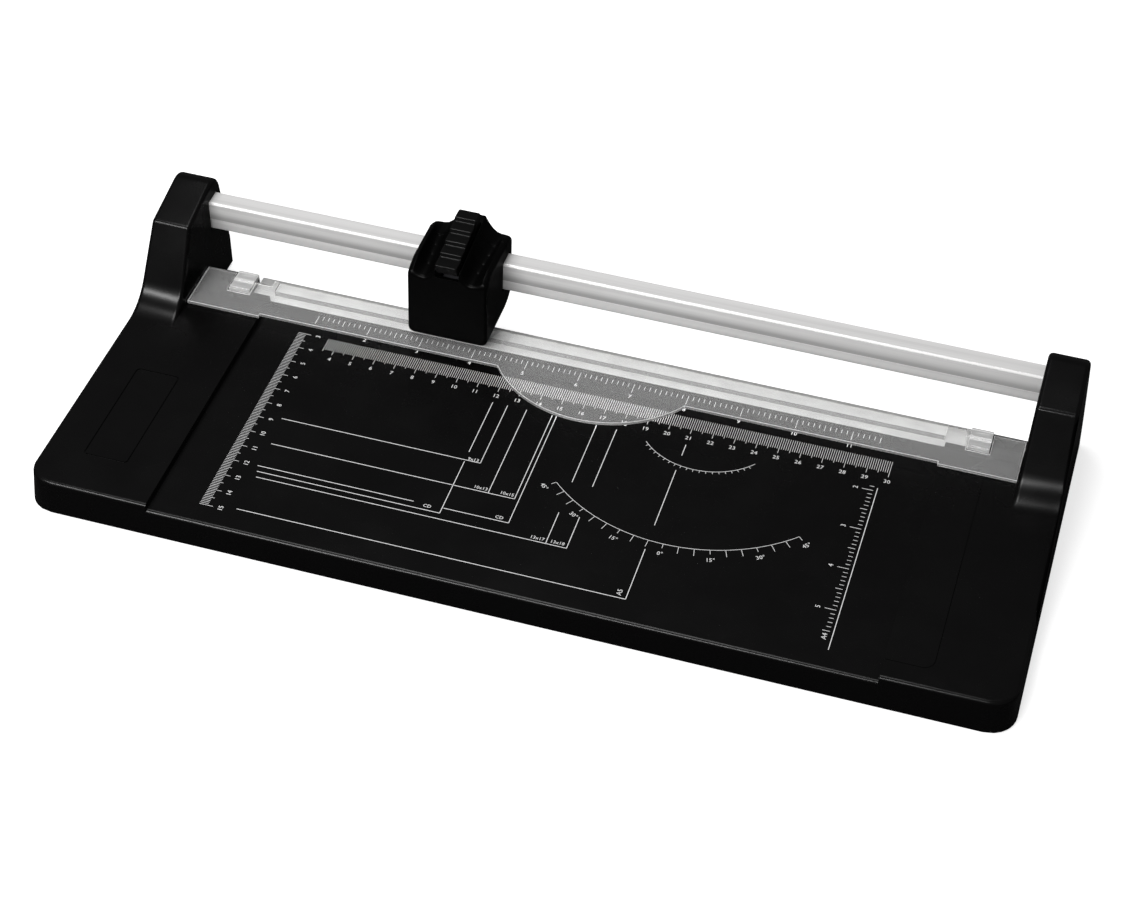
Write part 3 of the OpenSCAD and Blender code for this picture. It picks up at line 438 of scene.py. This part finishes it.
for k, (up, level) in enumerate(painted_sheen_steps):
    if k == 0:
        stop = stops[0]
    elif k == len(painted_sheen_steps) - 1:
        stop = stops[-1]
    else:
        stop = stops.new(up)
    stop.position, stop.color = up, (level, level, level, 1)
rail_tone_and_painted_sheen = colour_mix(rail_tree, 1, rail_tone, (rail_painted_sheen, "Color"), "MULTIPLY")
feed(rail_tree, rail_tone_and_painted_sheen, rail_shader, "Base Color")
feed(rail_tree, ramp(rail_tree, rail_lines, 0.3, 0.7, 0.28, 0.42), rail_shader, "Roughness")
bump(rail_tree, rail_lines, rail_shader, 0.00002, 0.25)
faint_in_gloss(rail_tree, rail_shader, mirror_dim)


def nicked(name, scale, low, high, gloss, depth, **sockets):
    made, tree, shader = finish(name, **sockets)
    nicks = effect(tree, fine_marks, Scale=scale, Detail=3, Low=low, High=high,
                   Gloss_Low=gloss[0], Gloss_High=gloss[1])
    feed(tree, (nicks, "Roughness"), shader, "Roughness")
    bump(tree, (nicks, "Height"), shader, depth, 0.3)
    return made


# The rail's rounded edges get a paler colour: a painted highlight along them.
rail_painted_edge_highlight = nicked("rail_painted_edge_highlight", 500, 0.3, 0.7, (0.22, 0.34), 0.00001,
                     Base_Color=(0.95, 0.945, 0.94, 1), Metallic=0.2)
dress("guide_rail", rail_silver, edge=0.00015, edge_from=30, edge_finish=rail_painted_edge_highlight)


# Rail clamps: grey glass-filled nylon blocks inside the towers that pinch the rail's
# ends, each drawn up by two zinc-plated screws.
clamp_grey = moulded("clamp_grey", (0.045, 0.045, 0.05), (0.16, 0.16, 0.16), 0.3, (0.5, 0.62), 0.00004)
for name in ("rail_clamp_left", "rail_clamp_right"):
    dress(name, clamp_grey, edge=0.0002)


def metal(name, dark, light, gloss, scale, depth):
    made, tree, shader = finish(name, Metallic=1.0)
    marks = effect(tree, fine_marks, Scale=scale, Detail=4, Dark=(*dark, 1), Light=(*light, 1),
                   Gloss_Low=gloss[0], Gloss_High=gloss[1])
    feed(tree, (marks, "Colour"), shader, "Base Color")
    feed(tree, (marks, "Roughness"), shader, "Roughness")
    bump(tree, (marks, "Height"), shader, depth, 0.3)
    return made


screw_zinc = metal("screw_zinc", (0.42, 0.43, 0.44), (0.62, 0.63, 0.63), (0.25, 0.45), 900, 0.00003)
dress("clamp_screws", screw_zinc)


# Pressure strip: a clear styrene bar that holds the paper flat. It turns in the two
# end clips, and a half-moon window at its front edge shows the sheet. Light and mirrored
# rays pass straight through, so it casts no dark shadow on what lies under it.
strip_clear, strip_tree, strip_shader = finish("strip_clear", Transmission_Weight=0.9, IOR=1.49)
strip_haze = effect(strip_tree, fine_marks, Scale=120, Detail=5, Dark=(0.94, 0.94, 0.938, 1),
                    Light=(0.98, 0.98, 0.978, 1))
strip_gloss = ramp(strip_tree, (strip_haze, "Height"), 0.35, 0.75, 0, 0.006)
feed(strip_tree, (strip_haze, "Colour"), strip_shader, "Base Color")
feed(strip_tree, strip_gloss, strip_shader, "Roughness")
strip_rays = strip_tree.nodes.new("ShaderNodeLightPath")
strip_pass = reckon(strip_tree, "MAXIMUM", (strip_rays, "Is Shadow Ray"), mirror_ray(strip_tree, strip_rays))
blend_shader(strip_tree, strip_pass, strip_shader, strip_tree.nodes.new("ShaderNodeBsdfTransparent"))
# The strip's and clips' rounded edges get a whiter, less clear colour: a painted highlight along them.
strip_painted_edge_highlight = nicked("strip_painted_edge_highlight", 700, 0.35, 0.7, (0.12, 0.4), 0.00002,
                      Base_Color=(0.9, 0.9, 0.895, 1), Transmission_Weight=0.25)
dress("pressure_strip", strip_clear, edge=0.00018, edge_from=40, edge_finish=strip_painted_edge_highlight)

clip_clear = strip_clear.copy()
clip_clear.name = "clip_clear"
clip_clear.node_tree.nodes["Principled BSDF"].inputs["Transmission Weight"].default_value = 0.5
for name in ("strip_clip_left", "strip_clip_right"):
    dress(name, clip_clear, edge=0.00025, edge_finish=strip_painted_edge_highlight)


# Feet: four discs of natural rubber, pressed into seats under the base's corners, that
# keep the trimmer from sliding on the table.
rubber = moulded("rubber", (0.013, 0.013, 0.013), (0.11, 0.105, 0.1), 0.7, (0.72, 0.85), 0.00008)
for name in ("foot_front_left", "foot_front_right", "foot_rear_left", "foot_rear_right"):
    dress(name, rubber, edge=0.0004)


# Cutting head: two black ABS shells, screwed together over the rail, with finger
# scoops in both sides and acetal shoes that run on the rail.
head_black = moulded("head_black", (0.0012, 0.0012, 0.0012), grey_dust, 0.22, (0.3, 0.38), 0.000012,
                     Specular_IOR_Level=0.09)
for name in ("head_front_shell", "head_rear_shell"):
    dress(name, head_black, crease=38, edge=0.0002, edge_from=60)
dress("head_screws", screw_zinc)
shoe_pale = moulded("shoe_pale", (0.56, 0.55, 0.51), (0.3, 0.29, 0.27), 0.3, (0.38, 0.5), 0.00003)
for name in ("glide_shoe_left", "glide_shoe_right"):
    dress(name, shoe_pale, edge=0.0002)


# Press button: a stepped black key on top of the head, its rib edges a little paler as a
# painted highlight. It pushes the blade carrier down against two wound steel springs on pins.
button_black = moulded("button_black", (0.0022, 0.0022, 0.0022), grey_dust, 0.2, (0.26, 0.34), 0.000012,
                       Specular_IOR_Level=0.25)
# Rib edges: a paler colour on the bevels, a painted highlight on each step.
button_painted_edge_highlight = moulded("button_painted_edge_highlight", (0.008, 0.008, 0.008), (0.03, 0.03, 0.03), 0.3, (0.3, 0.4), 0.00001)
dress("press_button", button_black, crease=30, edge=0.00012, edge_from=38, edge_finish=button_painted_edge_highlight)
dress("blade_carrier", clamp_grey, edge=0.0002)
spring_wire = metal("spring_wire", (0.40, 0.40, 0.41), (0.66, 0.66, 0.67), (0.18, 0.3), 1400, 0.00002)
for name in ("return_spring_left", "return_spring_right"):
    dress(name, spring_wire, crease=60)
for name in ("spring_pin_left", "spring_pin_right", "blade_axle", "blade_clip"):
    dress(name, screw_zinc)


# Blade: a round disc of hardened steel, ground to an edge all round. It turns on an
# acetal bush on the carrier's axle.
blade_steel = metal("blade_steel", (0.58, 0.59, 0.60), (0.78, 0.79, 0.80), (0.10, 0.22), 700, 0.00001)
dress("rotary_blade", blade_steel)
dress("blade_bush", shoe_pale)


# Table: a plain white surface that keeps the shadow of the trimmer. It glows a little
# for the camera, so that it stays white, and mirrors dark in the black plastic.
table_pale = (0.86, 0.86, 0.86, 1)
floor_mesh = bmesh.new()
bmesh.ops.create_grid(floor_mesh, x_segments=8, y_segments=8, size=6)
floor_data = bpy.data.meshes.new("table_top")
floor_mesh.to_mesh(floor_data)
floor_mesh.free()
table_top = bpy.data.objects.new("table_top", floor_data)
bpy.context.scene.collection.objects.link(table_top)
table_white, table_tree, table_shader = finish("table_white", Base_Color=table_pale, Roughness=0.9,
                                               Specular_IOR_Level=0.1, Emission_Color=(1, 1, 1, 1))
table_rays = table_tree.nodes.new("ShaderNodeLightPath")
table_tone = colour_mix(table_tree, (table_rays, "Is Glossy Ray"), table_pale, (0.03, 0.03, 0.03, 1))
table_glow = reckon(table_tree, "MULTIPLY", (table_rays, "Is Camera Ray"), 0.7)
feed(table_tree, table_tone, table_shader, "Base Color")
feed(table_tree, table_glow, table_shader, "Emission Strength")
floor_data.materials.append(table_white)


# Studio: a pale room that is white to the eye and through the clear strip, and dim
# otherwise, with a long soft lamp in front, a square one overhead and the camera.
room_dim, room_mirrored = 0.17, 0.085
room = bpy.data.worlds.new("room")
bpy.context.scene.world = room
room.use_nodes = True
room_tree = room.node_tree
room_rays = room_tree.nodes.new("ShaderNodeLightPath")
room_unseen = ramp(room_tree, (room_rays, "Is Glossy Ray"), 0, 1, room_dim, room_mirrored)
room_seen = reckon(room_tree, "MAXIMUM", (room_rays, "Is Camera Ray"), (room_rays, "Is Transmission Ray"))
room_light = room_tree.nodes["Background"]
feed(room_tree, (1, 1, 1, 1), room_light, "Color")
feed(room_tree, ramp(room_tree, room_seen, 0, 1, room_unseen), room_light, "Strength")


def soft_box(name, place, aim, wide, deep, power):
    lamp = bpy.data.lights.new(name, "AREA")
    lamp.shape = "RECTANGLE"
    lamp.size, lamp.size_y = wide, deep
    lamp.energy = power
    holder = bpy.data.objects.new(name, lamp)
    holder.location = place
    holder.rotation_euler = (Vector(aim) - Vector(place)).to_track_quat("-Z", "Y").to_euler()
    bpy.context.scene.collection.objects.link(holder)


soft_box("front_box", (-0.42, -1.1, 1.08), (-0.05, 0, 0.02), 1.1, 0.22, 17)
soft_box("top_box", (-0.3, 0.15, 1.6), (0, 0, 0), 0.7, 0.7, 9)

camera_data = bpy.data.cameras.new("photo_view")
camera_data.lens = 84.2376
camera_data.sensor_width = 36
camera_data.clip_start = 0.01
camera = bpy.data.objects.new("photo_view", camera_data)
camera.location = (0.22212, -0.830516, 0.809229)
camera.rotation_euler = tuple(math.radians(a) for a in (47.21278, -1.67512, 16.49996))
bpy.context.scene.collection.objects.link(camera)
bpy.context.scene.camera = camera
bpy.context.scene.view_settings.view_transform = "Standard"
